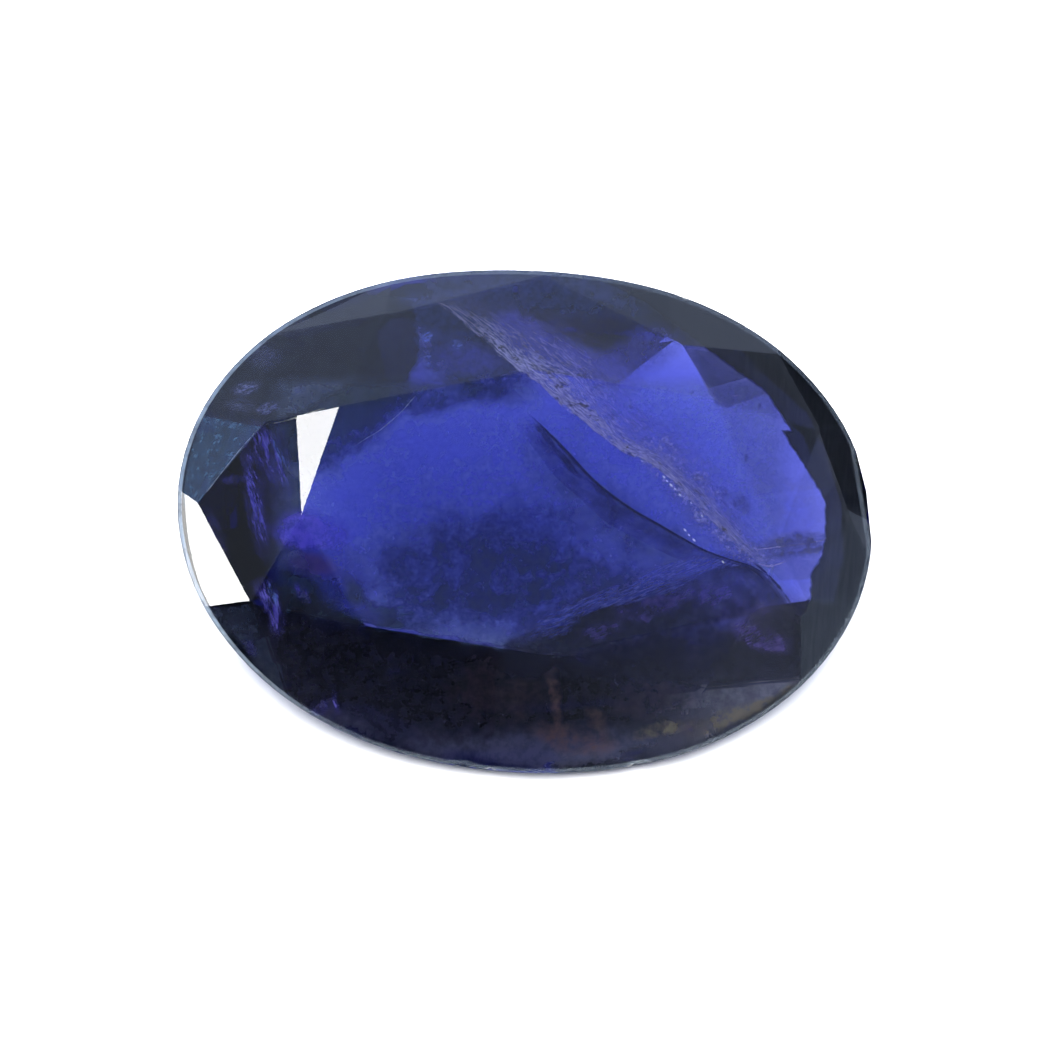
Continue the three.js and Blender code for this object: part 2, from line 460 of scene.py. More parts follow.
lamp_data = bpy.data.lights.new("overhead", "AREA")
lamp_data.shape = "DISK"
lamp_data.size = 2 * LAMP_RADIUS
lamp_data.energy = LAMP_POWER
lamp = add_object("overhead", lamp_data)
lamp.location = (0, LAMP_BACK, LAMP_HEIGHT)
lamp.rotation_euler = (-math.atan2(LAMP_BACK, LAMP_HEIGHT), 0, 0)
lamp.visible_camera = lamp.visible_glossy = lamp.visible_transmission = False

scene.view_settings.view_transform = "Standard"
scene.cycles.max_bounces = BOUNCES
scene.cycles.transmission_bounces = BOUNCES
scene.cycles.glossy_bounces = BOUNCES
scene.cycles.diffuse_bounces = DIFFUSE_BOUNCES
scene.cycles.transparent_max_bounces = FILMS_CROSSED
scene.cycles.blur_glossy = 0
scene.cycles.sample_clamp_indirect = 0
print("lamp", lamp_data.energy, "W at", in_mm(lamp.location, 0), "mm")

# %% [markdown]
# ## The cards
# A jeweller's photographer stands small white and black cards round a stone and watches them come and go
# in the facets. The two pure white facets on the left mirror such cards, and three dim cards hide the
# bright sky from facets that the photograph shows darker. A low fence round most of the stone, dark in
# places and dim in others, keeps the bright floor out of the facets at the rim. Cards and fence show to
# mirrored rays only, so that they don't dim the floor.

# %% Mirrored cards
# A dim card glows: its tint and brightness are painted light, standing in for grey cloth in this room.
DIM_TINT = (0.82, 0.96, 1.3)  # a dim card is grey cloth, and it looks blue in this room's light
RISE_END = 0.4  # the share of a sheet's length in which its brightness rises


def show_in_mirrors_only(card, level, start_share=1.0):
    """Gives a card its brightness, which may rise from a share of it at its start, and hides the card
    from all but mirrored rays."""
    tint = DIM_TINT if level < 1 else (1, 1, 1)
    finish, tree, shader = new_finish(card.name, Base_Color=(0, 0, 0), Specular_IOR_Level=0,
                                      Emission_Color=tint, Emission_Strength=level)
    if start_share != 1.0:
        rise = coordinates(tree, "uv").part(0).fade(0, RISE_END) * (1 - start_share) + start_share
        fill(tree, shader, Emission_Color=rise.mixed((0, 0, 0), tint))
    finish.cycles.emission_sampling = "NONE"
    card.data.materials.append(finish)
    card.visible_camera = card.visible_diffuse = card.visible_transmission = card.visible_shadow = False


BREAK_OUTSIDE = ((180, 480), (182, 520), (184, 542), (188, 566), (194, 585), (202, 600), (211, 613))
BREAK_INSIDE = ((184, 480), (186, 520), (189, 542), (194, 566), (200, 585), (207, 600), (214, 613))
BREAK_FAR = ((190, 480), (212, 520), (224, 542), (237, 566), (247, 585), (256, 600), (263, 611))
CARDS = (  # name, a pixel of its facet, left and right edge, distance in millimetres, brightness
    ("card_break", (215, 560), BREAK_INSIDE, BREAK_FAR, 7, 20),
    ("card_break_edge", (215, 560), BREAK_OUTSIDE, BREAK_INSIDE, 7, 7),
    ("card_corner", (318, 440), ((295, 395), (303, 540)), ((350, 395), (350, 540)), 20, 20),
    ("card_kite", (250, 520), ((190, 425), (190, 620)), ((320, 425), (320, 620)), 26, 0.4),
    ("card_star", (307, 583), ((225, 490), (225, 680)), ((390, 490), (390, 680)), 15, 0.1),
    ("card_shoulder", (751, 389), ((690, 340), (690, 460)), ((830, 340), (830, 460)), 40, 0.4),
)
for name, facet_pixel, left, right, run, level in CARDS:
    def rule(u, v):
        x, y = along(left, u).lerp(along(right, u), v)
        return mirrored(facet_pixel, x, y, run * MM)
    show_in_mirrors_only(laid_sheet(name, 12, 1, rule), level)
    print(name, "stands at", in_mm(rule(0.5, 0.5), 1))

FENCE_GAP, NEAR_GAP = 1.6 * MM, 0.4 * MM
FENCE_RISE = 0.05 * MM
LOW_TOP, HIGH_TOP = 2.6 * MM, 5 * MM
half_length = (stone_right - stone_left) / 2
half_width = (stone_far - stone_near) / 2


def on_rim(bearing):
    """The way from the girdle's middle out to its rim at a bearing, in radians from the right end."""
    return length_way * half_length * math.cos(bearing) + width_way * half_width * math.sin(bearing)


def fence(name, start, end, level, tops, start_share=1.0, gap=FENCE_GAP):
    """A stretch of upright fence round the stone, from one bearing to another in degrees. It is at least as
    high as the rim, and at least as high as its tops, at its start and from its middle on."""
    def rule(u, v):
        out = on_rim(math.radians(start + (end - start) * u))
        foot = middle + out * (1 + gap / out.length)
        top = tops[0] + (tops[1] - tops[0]) * min(2 * u, 1)
        return Vector((foot.x, foot.y, v * max((middle + out).z + FENCE_RISE, top)))
    show_in_mirrors_only(laid_sheet(name, 24, 1, rule), level, start_share)


fence("fence_front_left", -157, -75, 0.03, (LOW_TOP, HIGH_TOP))
fence("fence_front_right", -95, 5, 0.4, (HIGH_TOP, HIGH_TOP), start_share=0.22, gap=NEAR_GAP)
fence("fence_right", 5, 80, 0.02, (0, 0))
fence("fence_back", 92, 158, 0.4, (0, 0))

# %% [markdown]
# ## The stone
# The shape is already right in the CAD model, but its mesh is triangles. In a merged copy the triangles
# of each facet are joined into one flat face. The real stone's edges aren't perfectly sharp: a thin line
# along them catches the light. A narrow bevel gives that.

# %% Stone mesh
MERGE = 0.0001 * MM
FLAT_ENOUGH = math.radians(0.05)
EDGE_ANGLE = math.radians(3)
EDGE_WIDTH = 0.012 * MM

stone = add_object("cut_stone", cad_stone.data.copy())
pick(stone)
bpy.ops.object.mode_set(mode="EDIT")
bpy.ops.mesh.select_all(action="SELECT")
bpy.ops.mesh.remove_doubles(threshold=MERGE)
bpy.ops.mesh.dissolve_limited(angle_limit=FLAT_ENOUGH)
bpy.ops.mesh.select_all(action="DESELECT")
bpy.ops.mesh.select_mode(type="EDGE")
bpy.ops.mesh.edges_select_sharp(sharpness=EDGE_ANGLE)
bpy.ops.mesh.bevel(offset=EDGE_WIDTH, offset_type="OFFSET", segments=1, clamp_overlap=True, material=-1)
bpy.ops.object.mode_set(mode="OBJECT")
bpy.ops.mesh.customdata_custom_splitnormals_clear()
stone.data.shade_flat()
largest = max(face.area for face in stone.data.polygons)
print("faces", len(stone.data.polygons), "largest mm2", round(largest / MM**2, 1))

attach(stone, "root")
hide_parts("iolite")

# %% [markdown]
# ## The crystal
# Iolite is clear, so its colour isn't on its surface. It comes from what the crystal swallows on the way
# through: red and green fade within a millimetre or two, and blue lasts about four times longer. So thin
# places look bright violet-blue, and long ways through the stone end nearly black. In Blender that is a
# clear Principled shader with iolite's refractive index, and Volume Absorption inside it.

# %% Crystal finish
ABSORPTION = (690, 640, 170)  # lost for each metre of way, in red, green and blue
DENSITY_ROOM = 1.02  # the node's density is a little above the highest, so no share of its colour is 0

crystal, crystal_tree, _ = new_finish("crystal", Base_Color=(1, 1, 1), Roughness=0.0, IOR=REFRACTION,
                                      Transmission_Weight=1.0)
densest = max(ABSORPTION) * DENSITY_ROOM
swallowed = add_node(crystal_tree, "VolumeAbsorption", Density=densest,
                     Color=tuple(1 - lost / densest for lost in ABSORPTION))
fill(crystal_tree, crystal_tree.nodes["Material Output"], Volume=swallowed)
stone.data.materials.clear()
stone.data.materials.append(crystal)
print("left after 1 mm, in red, green and blue", [round(math.exp(-lost * MM), 2) for lost in ABSORPTION])

# %% [markdown]
# ## Films inside the stone
# The flaws of this stone are thin: healed cracks, films of tiny fluid drops, smears of rust. Each is a
# sheet laid under pixels of the photograph, at a depth in the crystal. Some sheets, or parts of them, are
# no flaws but carry painted shade, painted reflections and painted glints. A film runs between two routes,
# a veil lies under a rectangle of pixels, and ribbons are narrow strips along short routes. A little noise
# in the depth keeps films and veils from being flat as paper. What shows on a sheet comes from its finish.

# %% Film helpers
FILM_STEPS, FILM_ROWS = 90, 14
VEIL_STEPS, VEIL_ROWS = 64, 48
FILM_WAVER, VEIL_WAVER = 0.1, 0.08  # how much noise there is in the depth
AHEAD = 0.01  # a ribbon finds its direction from its route this far ahead and behind
TIP = 0.04  # the closer to 0, the sharper are a ribbon's ends
DROP_INDEX = 1.33  # a film is mostly tiny drops of water
VEIL_BORDER = 0.06  # the share of a veil that fades out along each side
STRAND_GRAIN = 3 / MM


def put_inside(sheet, finish, slot):
    """Finishes a sheet and makes it part of the stone."""
    sheet.data.materials.append(finish)
    sheet.data.shade_smooth()
    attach(sheet, "root")
    print(sheet.name, "has", len(sheet.data.polygons), "faces, in slot", slot)


def film_finish(name, paint, roughness=0.6, **sockets):
    """A finish for sheets. Paint gets the UV coordinates, along and across, and gives colour and cover."""
    material, tree, shader = new_finish(name, Roughness=roughness, IOR=DROP_INDEX, **sockets)
    uv = coordinates(tree, "uv")
    colour, cover = paint(uv, uv.part(0), uv.part(1))
    fill(tree, shader, Base_Color=colour, Alpha=cover)
    return material


def film(name, near, far, depths, paint, slot, steps=FILM_STEPS, rows=FILM_ROWS):
    """A film between two routes, with the depth in millimetres under each."""
    def rule(u, v):
        x, y = along(near, u).lerp(along(far, u), v)
        depth = depths[0] + (depths[1] - depths[0]) * v
        ripple = noise.noise(Vector((8 * u, 3 * v, len(name))))  # each name's length gives its own ripple
        return inside(x, y, depth * (1 + FILM_WAVER * ripple) * MM)
    put_inside(laid_sheet(name, steps, rows, rule), film_finish(name + "_film", paint), slot)


def veil(name, box, depth, paint, slot, steps=VEIL_STEPS, rows=VEIL_ROWS):
    """A film under a rectangle of the photograph: left, top, right and bottom, in pixels. Paint gets the
    coordinates in pixels, plain and ragged, and gives colour and cover."""
    left, top, right, bottom = box

    def rule(u, v):
        x, y = left + (right - left) * u, top + (bottom - top) * v
        ripple = noise.noise(Vector((5 * u, 4 * v, depth)))
        return inside(x, y, depth * (1 + VEIL_WAVER * ripple) * MM)

    def paint_pixels(uv, u, v):
        pixels = uv.node("Mapping", None, 0, Vector=uv, Location=(left, top, 0),
                         Scale=(right - left, bottom - top, 1))
        colour, cover = paint(pixels, pixels.warped(0.025, 34))
        border = [place.fade(0, VEIL_BORDER) * place.fade(1, 1 - VEIL_BORDER) for place in (u, v)]
        return colour, cover * (border[0] * border[1])
    put_inside(laid_sheet(name, steps, rows, rule), film_finish(name + "_film", paint_pixels, 0.7), slot)


def ribbons(name, marks, depth, finish, slot, steps):
    """Narrow strips as one piece. Each mark is a half width in pixels and a route."""
    strips = []
    for half_width, *route in marks:
        def rule(u, v):
            ahead = along(route, min(u + AHEAD, 1)) - along(route, max(u - AHEAD, 0))
            aside = Vector((-ahead.y, ahead.x)).normalized() * half_width
            taper = math.sqrt(math.sin(math.pi * (TIP + (1 - 2 * TIP) * u)))
            x, y = along(route, u) + aside * (2 * v - 1) * taper
            return inside(x, y, depth * MM)
        strips.append(laid_sheet(name, steps, 3, rule))
    pick(*strips)
    if len(strips) > 1:
        bpy.ops.object.join()
    strips[0].name = name
    put_inside(strips[0], finish, slot)


def strand_finish(name, colour, cover):
    """A finish for ribbons with ragged sides."""
    def paint(uv, u, v):
        places = coordinates(uv.tree, "object")
        own = places.clouds(STRAND_GRAIN, 6, 0.75, 0.3, 0.7)
        fine = places.clouds(4 * STRAND_GRAIN, 4, 0.7, 0.3, 0.7)
        middle = v.fade(0, 0.5) * v.fade(1, 0.5) * u.fade(0, 0.2) * u.fade(1, 0.8)
        return colour, (middle * 1.2 + own * 0.9 + fine * 0.4 - 1.05).fade(0, 0.8) * cover
    return film_finish(name, paint)


# %% [markdown]
# ## Smoke and painted shade under the table
# Without flaws the whole window would be an even bright blue. In the photograph a broad teal-grey cloud
# fills its middle and lower part, and between the clouds the blue is clear but slightly milky. The darker
# patches that close the window at its upper left and lower left, and the smudges along the second crack,
# are painted shade. One veil holds it all, with soft ovals as the body of each cloud and each shade, noise
# to break them up, and ragged coordinates so that no outline stays an oval. It ends at the table's two
# lower edges.

# %% Window smoke and shade
WINDOW_BOX = (262, 372, 800, 672)
WINDOW_CLOUDS = (
    (480, 575, 170, 80, 0, 0.7), (570, 600, 190, 60, 0, 0.5), (600, 530, 150, 80, 25, 0.35),
    (470, 520, 130, 70, 10, 0.3), (395, 600, 90, 60, 30, 0.5), (560, 470, 110, 60, 40, 0.2),
    (565, 632, 60, 26, 0, 0.3), (640, 610, 120, 40, -15, 0.3), (640, 530, 60, 40, 30, 0.25),
)
# Painted shade: darker patches where the window gives way to the dark round it, at its upper and lower
# left.
WINDOW_EDGE_SHADE = (
    (330, 430, 90, 55, -25, 1), (430, 392, 120, 40, -12, 0.8), (500, 388, 60, 24, 20, 0.25),
    (285, 600, 60, 60, 0, 0.9), (345, 600, 36, 30, 40, 0.5), (378, 622, 50, 24, 12, 0.7),
)
WINDOW_CLEAR = ((318, 530, 50, 30, 0, 0.6), (375, 585, 40, 26, 30, 0.3))
TABLE_FOOT = ((752, 610), (555, 656), (365, 625))  # the table's two lower edges, from right to left
# Painted shade beside the second crack.
CRACK_SHADE_MARKS = ((546, 436, 26, 5, 52, 0.55), (566, 462, 26, 5, 48, 0.5), (600, 490, 26, 4, 42, 0.4))


def paint_window(pixels, ragged):
    puffs = ragged.clouds(0.03, 6, 0.6, 0.25, 0.75)
    small = pixels.clouds(0.11, 5, 0.65, 0.3, 0.7)
    darkening = ragged.patches(WINDOW_CLOUDS) * (puffs * 0.45 + small * 0.2 + 0.3)
    limit = ragged.patches(WINDOW_EDGE_SHADE) * (puffs * 0.35 + small * 0.25 + 0.5)
    mottle = ragged.clouds(0.05, 6, 0.7, 0.45, 0.75) * 0.14
    crack_shade = pixels.warped(0.06, 9).patches(CRACK_SHADE_MARKS) * (small * 0.4 + 0.6)
    both = darkening + limit - ragged.patches(WINDOW_CLEAR) + mottle + crack_shade
    both = both.or_more(0.0).capped(0.86)
    grain = pixels.clouds(0.3, 4, 0.7, 0.4, 0.7)
    milk = puffs * 0.1 + small * 0.08 + grain * 0.05 + pixels.part(0).fade(560, 680) * 0.06 + 0.22
    dark = puffs.mixed((0.04, 0.08, 0.07), (0.055, 0.095, 0.13))
    clear = small.mixed((0.34, 0.45, 0.44), (0.5, 0.62, 0.6))
    above = pixels.side(*TABLE_FOOT[:2], 3) * pixels.side(*TABLE_FOOT[1:], 3)
    return both.fade(0.1, 0.6).mixed(clear, dark), (both + milk * (1 - both)) * above


veil("window_smoke", WINDOW_BOX, 0.5, paint_window, "smoky_cloud")

# %% [markdown]
# ## Painted shade under the upper facets
# The crown's upper left is the darkest place of all, and a dark veil paints that shade. It ends in a ragged
# line on the right, at a crack inside that is seen edge-on. Right of it the painted shade is thin. The top
# of the stone is dimmed by a thin painted shade too, and it is violet around the feather.

# %% Upper shade
UPPER_BOX = (188, 246, 800, 432)
# Painted shade: the dark of the crown's upper left.
UPPER_DARK = ((300, 350, 170, 90, -20, 1.3), (380, 350, 90, 70, 0, 1.2))
# Thin painted shade that dims the top of the stone.
UPPER_THIN = (
    (470, 350, 100, 60, 25, 1.3), (455, 310, 80, 34, 0, 1.1), (520, 284, 150, 44, 6, 1.5),
    (640, 300, 130, 40, 20, 0.7),
)
UPPER_VIOLET = (
    (636, 356, 66, 30, -28, 1), (520, 332, 40, 26, 30, 1), (585, 366, 80, 28, 22, 0.8),
    (550, 350, 50, 30, 30, 0.6), (470, 358, 60, 26, 0, 0.4),
)
# The dark cloud named below is the painted shade of the crown's upper left.
CRACK_WALL, WALL_SOFT = 414, 8  # where the dark cloud ends, and how softly


def paint_upper(pixels, ragged):
    puffs = ragged.clouds(0.035, 6, 0.6, 0.3, 0.7)
    small = pixels.clouds(0.1, 5, 0.65, 0.3, 0.7)
    wall = pixels.warped(0.05, 26).part(0).fade(CRACK_WALL + WALL_SOFT, CRACK_WALL - WALL_SOFT)
    dark = ragged.patches(UPPER_DARK) * wall
    thin = ragged.patches(UPPER_THIN) * (puffs * 0.5 + small * 0.4 + 0.3)
    violet = pixels.warped(0.02, 14).patches(UPPER_VIOLET) * (small * 0.4 + 0.6)
    haze = small.mixed((0.025, 0.05, 0.1), (0.045, 0.08, 0.2))
    haze = violet.fade(0.05, 0.6).mixed(haze, (0.17, 0.17, 0.6))
    slate = puffs.mixed((0.004, 0.007, 0.014), (0.014, 0.022, 0.026))
    return dark.fade(0.2, 0.8).mixed(haze, slate), (dark + thin + violet * 0.7).capped(0.94)


veil("upper_smoke", UPPER_BOX, 0.5, paint_upper, "smoky_cloud")

# %% [markdown]
# ## Painted shade and rust under the lower facets
# The lower third of the stone is nearly black, a shade that a dark veil paints, with paler grey patches
# along the rim. Rusty streaks lie at its middle and a little olive at the right: these are stains of iron
# in old cracks. Two facets show as plainer patches with straight edges, a slate one at the left and a grey
# one at the right, which are painted reflections of what those facets mirror.

# %% Lower shade and rust
LOWER_BOX = (156, 580, 860, 796)
# Painted shade: the near black of the lower third.
LOWER_DARK = (
    (430, 700, 240, 90, 5, 1.2), (640, 690, 150, 70, -8, 1), (560, 750, 220, 40, 0, 0.8),
    (300, 660, 110, 80, 20, 1), (780, 655, 60, 60, -50, 1), (762, 645, 80, 60, -50, 0.9),
)
LOWER_GREY_PATCHES = ((540, 754, 220, 34, 0, 1.3), (350, 738, 70, 24, 25, 0.6), (740, 706, 90, 26, -10, 0.9))
LOWER_RUST = (
    (553, 685, 56, 10, 84, 1.3), (572, 740, 56, 18, 10, 1), (598, 722, 24, 10, 55, 0.6),
    (500, 690, 70, 50, 0, 0.25), (650, 700, 60, 30, 0, 0.2), (693, 731, 12, 8, 0, 0.8),
)
LOWER_OLIVE = ((756, 708, 70, 12, -14, 1.8), (690, 728, 70, 12, -10, 1.3))
# Painted reflections: the plain grey and slate patches of two lower facets.
GREY_MIRROR_FACET = [(640, 698), (806, 679), (850, 690), (760, 790), (600, 790)]
SLATE_MIRROR_FACET = [(200, 608), (252, 603), (275, 660), (300, 720), (230, 690)]


def paint_lower(pixels, ragged):
    puffs = ragged.clouds(0.03, 6, 0.6, 0.3, 0.7)
    small = pixels.clouds(0.09, 6, 0.65, 0.35, 0.7)
    dark = (ragged.patches(LOWER_DARK) * (puffs * 0.2 + small * 0.15 + 0.8)).capped(0.93)
    rust = (ragged.patches(LOWER_RUST) * (puffs * 0.7 + small * 0.6)).capped(1)
    grey_patches = ragged.patches(LOWER_GREY_PATCHES) * (small * 0.5 + 0.5)
    # The dark colour of the painted shade, with the paler grey patches.
    darkening = grey_patches.mixed(small.mixed((0.004, 0.004, 0.007), (0.014, 0.013, 0.022)), (0.08, 0.08, 0.1))
    grey = pixels.within(GREY_MIRROR_FACET) * ragged.part(0).fade(650, 740)
    darkening = grey.mixed(darkening, small.mixed((0.11, 0.105, 0.1), (0.2, 0.195, 0.185)))
    darkening = (ragged.patches(LOWER_OLIVE) * (small + 0.2)).capped(1).mixed(darkening, (0.21, 0.17, 0.07))
    slate = pixels.within(SLATE_MIRROR_FACET)
    darkening = slate.mixed(darkening, small.mixed((0.012, 0.02, 0.026), (0.03, 0.042, 0.05)))
    facets = (slate + grey).capped(1) * (0.82 + small * 0.1)
    return rust.mixed(darkening, (0.15, 0.08, 0.055)), dark.or_more(facets)


veil("lower_smoke", LOWER_BOX, 0.5, paint_lower, "rust_stain")

# %% [markdown]
# ## The feather
# The most striking flaw is a pale feather that runs from the upper left rim down to the right. Its lower
# left edge is crisp, where the crack comes nearest to the surface. From there it dips into the stone and
# fades to the upper right in fine fibres that follow the edge, with a few dark rusty spots. A fan of faint
# violet streaks lies a little deeper, under its upper part.

# %% Feather
FEATHER_EDGE = (
    (424, 296), (452, 316), (480, 338), (500, 357), (520, 373), (540, 387), (560, 405), (580, 421),
    (600, 437), (622, 452), (645, 463), (668, 479), (690, 500), (712, 523), (735, 545), (757, 563),
    (778, 584), (800, 617),
)
FEATHER_FAR = (
    (520, 268), (560, 285), (600, 300), (630, 318), (650, 335), (665, 350), (680, 368), (690, 385),
    (700, 400), (712, 415), (722, 430), (735, 446), (750, 462), (764, 480), (776, 500), (788, 525),
    (798, 560), (808, 612),
)


def paint_feather(uv, u, v):
    rough = uv.warped(9, 0.04)
    fibres = rough.stretched(16, 20, 1).clouds(1, 8, 0.75, 0.42, 0.62)
    fine = rough.stretched(55, 80, 1).clouds(1, 5, 0.75, 0.4, 0.62)
    puffs = rough.stretched(9, 4, 1).clouds(1, 6, 0.65, 0.4, 0.66)
    crisp = (v + fibres * 0.03).fade(0.015, 0.045)
    edge = crisp * v.fade(0.25, 0.04) * (fibres * 0.6 + fine * 0.5 + 0.2) * (u.fade(0, 0.42) * 0.6 + 0.4)
    edge = edge * (1 - 0.55 * u.fade(0.55, 0.75))
    broad = v.fade(0.7, 0.15) * u.fade(0.02, 0.2) * u.fade(0.6, 0.3)
    haze = crisp * v.fade(0.9, 0.1) * (fibres * 0.25 + puffs * 0.35 + fine * 0.12)
    haze = haze * (u.fade(0, 0.3) * 0.7 + 0.3)
    haze = haze + crisp * broad * (fibres * 0.35 + fine * 0.15)
    ends = u.fade(0.0, 0.05) * u.fade(0.93, 0.84)
    stain = uv.stretched(34, 10, 1).clouds(1, 5, 0.75, 0.54, 0.63) * v.fade(0.7, 0.05)
    violet = fine.mixed((0.3, 0.27, 0.65), (0.65, 0.6, 1.0))
    white = fine.mixed((0.4, 0.37, 0.6), (0.85, 0.8, 1.0))
    pale = v.fade(0.4, 0.1).mixed(violet, white)
    return stain.mixed(pale, (0.14, 0.12, 0.1)), ((edge + haze + stain * 0.3) * ends).capped(0.95)


film("feather", FEATHER_EDGE, FEATHER_FAR, (0.1, 0.35), paint_feather, "healed_crack")

FAN_NEAR = ((470, 312), (500, 328), (530, 346), (562, 364), (592, 382), (620, 398))
FAN_FAR = ((512, 306), (545, 318), (576, 332), (606, 350), (634, 370), (660, 392))


def paint_fan(uv, u, v):
    streaks = uv.stretched(4, 26, 1).clouds(1, 6, 0.7, 0.42, 0.68)
    puffs = uv.stretched(6, 4, 1).clouds(1, 5, 0.6, 0.35, 0.65)
    sides = v.fade(0, 0.25) * v.fade(1, 0.6) * u.fade(0, 0.2) * u.fade(1, 0.7)
    return (0.42, 0.4, 0.9), (streaks * 0.35 + puffs * 0.25) * sides


film("feather_fan", FAN_NEAR, FAN_FAR, (0.36, 0.4), paint_fan, "healed_crack")

# %% [markdown]
# ## The dark crack
# Below the feather runs a second crack, nearly parallel to it. Light hardly crosses it, so it shows as a
# dark line with a soft shadow to its lower left, where it dips into the stone.

# %% Dark crack
CRACK_LINE = (
    (528, 412), (548, 431), (568, 451), (590, 475), (612, 494), (635, 510), (658, 523), (682, 537),
    (706, 550), (730, 559), (752, 566), (772, 578),
)
CRACK_FAR = (
    (490, 430), (500, 462), (512, 490), (528, 514), (548, 534), (570, 552), (596, 566), (622, 574),
    (650, 579), (680, 580), (712, 580), (752, 588),
)


def paint_crack(uv, u, v):
    puffs = uv.stretched(8, 4, 1).clouds(1, 4, 0.6, 0.3, 0.7)
    line = v.fade(0.05, 0.01) * (uv.stretched(30, 2, 1).clouds(1, 2, 0.55, 0.3, 0.45) * 0.6 + 0.25)
    side = v.fade(0.9, 0.0) * (puffs * 0.4 + 0.3)
    ends = u.fade(0.0, 0.12) * u.fade(1.0, 0.92)
    return (0.012, 0.02, 0.05), ((line + side) * ends).capped(0.95)


film("dark_crack", CRACK_LINE, CRACK_FAR, (0.2, 1.0), paint_crack, "smoky_cloud")

# %% [markdown]
# ## The right end
# At the right end of the window the blue stops in a clean jagged line, and beyond it the rim is slate grey
# and nearly black: painted shade and painted reflections of the rim's facets, on a veil that is clear
# inside four outlines. A second veil holds the pale dabs along the feather's lower end, the dim cells,
# which are painted shade of facets seen through the window, and the cloudy band that crosses the window.
# Ribbons make the dark crack that runs down to the small bright cell, and the band's pale edges.

# %% Right end
RIM_SHADE_BOX = (560, 268, 892, 716)
CLEAR_OF_RIM_SHADE = (
    [(530, 240), (640, 300), (698, 342), (767, 393), (791, 431), (530, 431)],
    [(530, 426), (780, 426), (800, 459), (819, 488), (825, 498),
     (825, 541), (821, 556), (811, 574), (530, 574)],
    [(530, 568), (811, 568), (810, 602), (800, 618), (530, 618)],
    [(530, 600), (800, 600), (800, 740), (530, 740)],
)


# Painted shade, nearly black at the top, and a painted slate reflection of the rim's facets lower down.
def paint_rim_shade(pixels, ragged):
    jagged = pixels.warped(0.12, 5)
    clear = 0
    for outline in CLEAR_OF_RIM_SHADE:
        clear = jagged.within(outline).or_more(clear)
    streaks = pixels.fibres(4, 50, 4, 0.35, 0.7)
    dark = streaks.mixed((0.006, 0.009, 0.012), (0.014, 0.018, 0.022))
    slate = streaks.mixed((0.026, 0.036, 0.046), (0.042, 0.052, 0.062))
    return pixels.part(1).fade(490, 545).mixed(dark, slate), (1 - clear) * 0.94


veil("right_wall", RIM_SHADE_BOX, 0.12, paint_rim_shade, "smoky_cloud", 90, 90)

RIGHT_BOX = (560, 330, 860, 640)
RIGHT_CLOUDS = (
    (690, 490, 90, 30, 50, 0.6), (660, 450, 70, 24, 45, 0.5), (725, 528, 50, 26, 45, 0.8),
    (790, 546, 80, 16, -8, 0.5), (770, 490, 60, 60, -20, 0.25),
)
RIGHT_DARK = (
    (795, 545, 70, 15, -8, 0.9), (800, 515, 40, 40, 0, 0.25), (741, 504, 16, 12, 50, 0.8),
    (722, 494, 12, 9, 40, 0.6), (697, 477, 9, 7, 0, 0.6), (668, 470, 8, 6, 0, 0.5),
    (631, 407, 4, 3, 0, 0.8), (692, 392, 3, 3, 0, 0.8), (758, 407, 4, 4, 0, 0.7), (747, 458, 3, 4, 0, 0.7),
)
PALE_DABS = (
    (703, 512, 60, 13, 44, 1), (737, 543, 40, 13, 42, 1), (664, 474, 50, 12, 40, 0.9),
    (762, 556, 24, 10, 20, 0.7), (640, 440, 60, 22, 38, 0.5), (690, 470, 70, 26, 48, 0.5),
)
# Painted shade of facet cells seen through the window.
LOW_CELL_SHADE = [(757, 557), (823, 547), (820, 560), (811, 579), (780, 580)]
DIM_CELL_SHADE = ((686, 349), (716, 352), (740, 368), (768, 393), (726, 408), (714, 402))
CELL_SIDE = ((775, 540), (716, 402))
CELL_STEP = ((826, 487), (758, 497))


def paint_right(pixels, ragged):
    puffs = ragged.clouds(0.04, 6, 0.6, 0.3, 0.7)
    small = pixels.clouds(0.13, 5, 0.65, 0.3, 0.7)
    grain = pixels.clouds(0.3, 4, 0.7, 0.4, 0.7)
    clouds = ragged.patches(RIGHT_CLOUDS) * (puffs * 0.6 + small * 0.4)
    spots = pixels.warped(0.1, 10).patches(RIGHT_DARK) * (small * 0.5 + 0.5)
    # Painted shade that grows in two steps beyond two lines.
    steps = pixels.side(*CELL_SIDE, 5) * (0.08 + 0.1 * pixels.side(*CELL_STEP, 3))
    cell_shade = pixels.within(DIM_CELL_SHADE) * 0.35 + steps + pixels.warped(0.1, 4).within(LOW_CELL_SHADE) * 0.25
    dabs = pixels.warped(0.06, 12).patches(PALE_DABS) * pixels.clouds(0.17, 5, 0.7, 0.46, 0.64)
    grey = small.mixed((0.15, 0.16, 0.2), (0.5, 0.46, 0.62))
    grey = (spots + cell_shade).fade(0, 0.8).mixed(grey, (0.1, 0.1, 0.13))
    cover = (clouds * 0.7 + puffs * 0.06 + grain * 0.05 + cell_shade + spots * 0.5 + dabs * 0.6).capped(0.8)
    return dabs.fade(0, 0.5).mixed(grey, (0.72, 0.68, 0.95)), cover


veil("right_haze", RIGHT_BOX, 0.2, paint_right, "healed_crack")

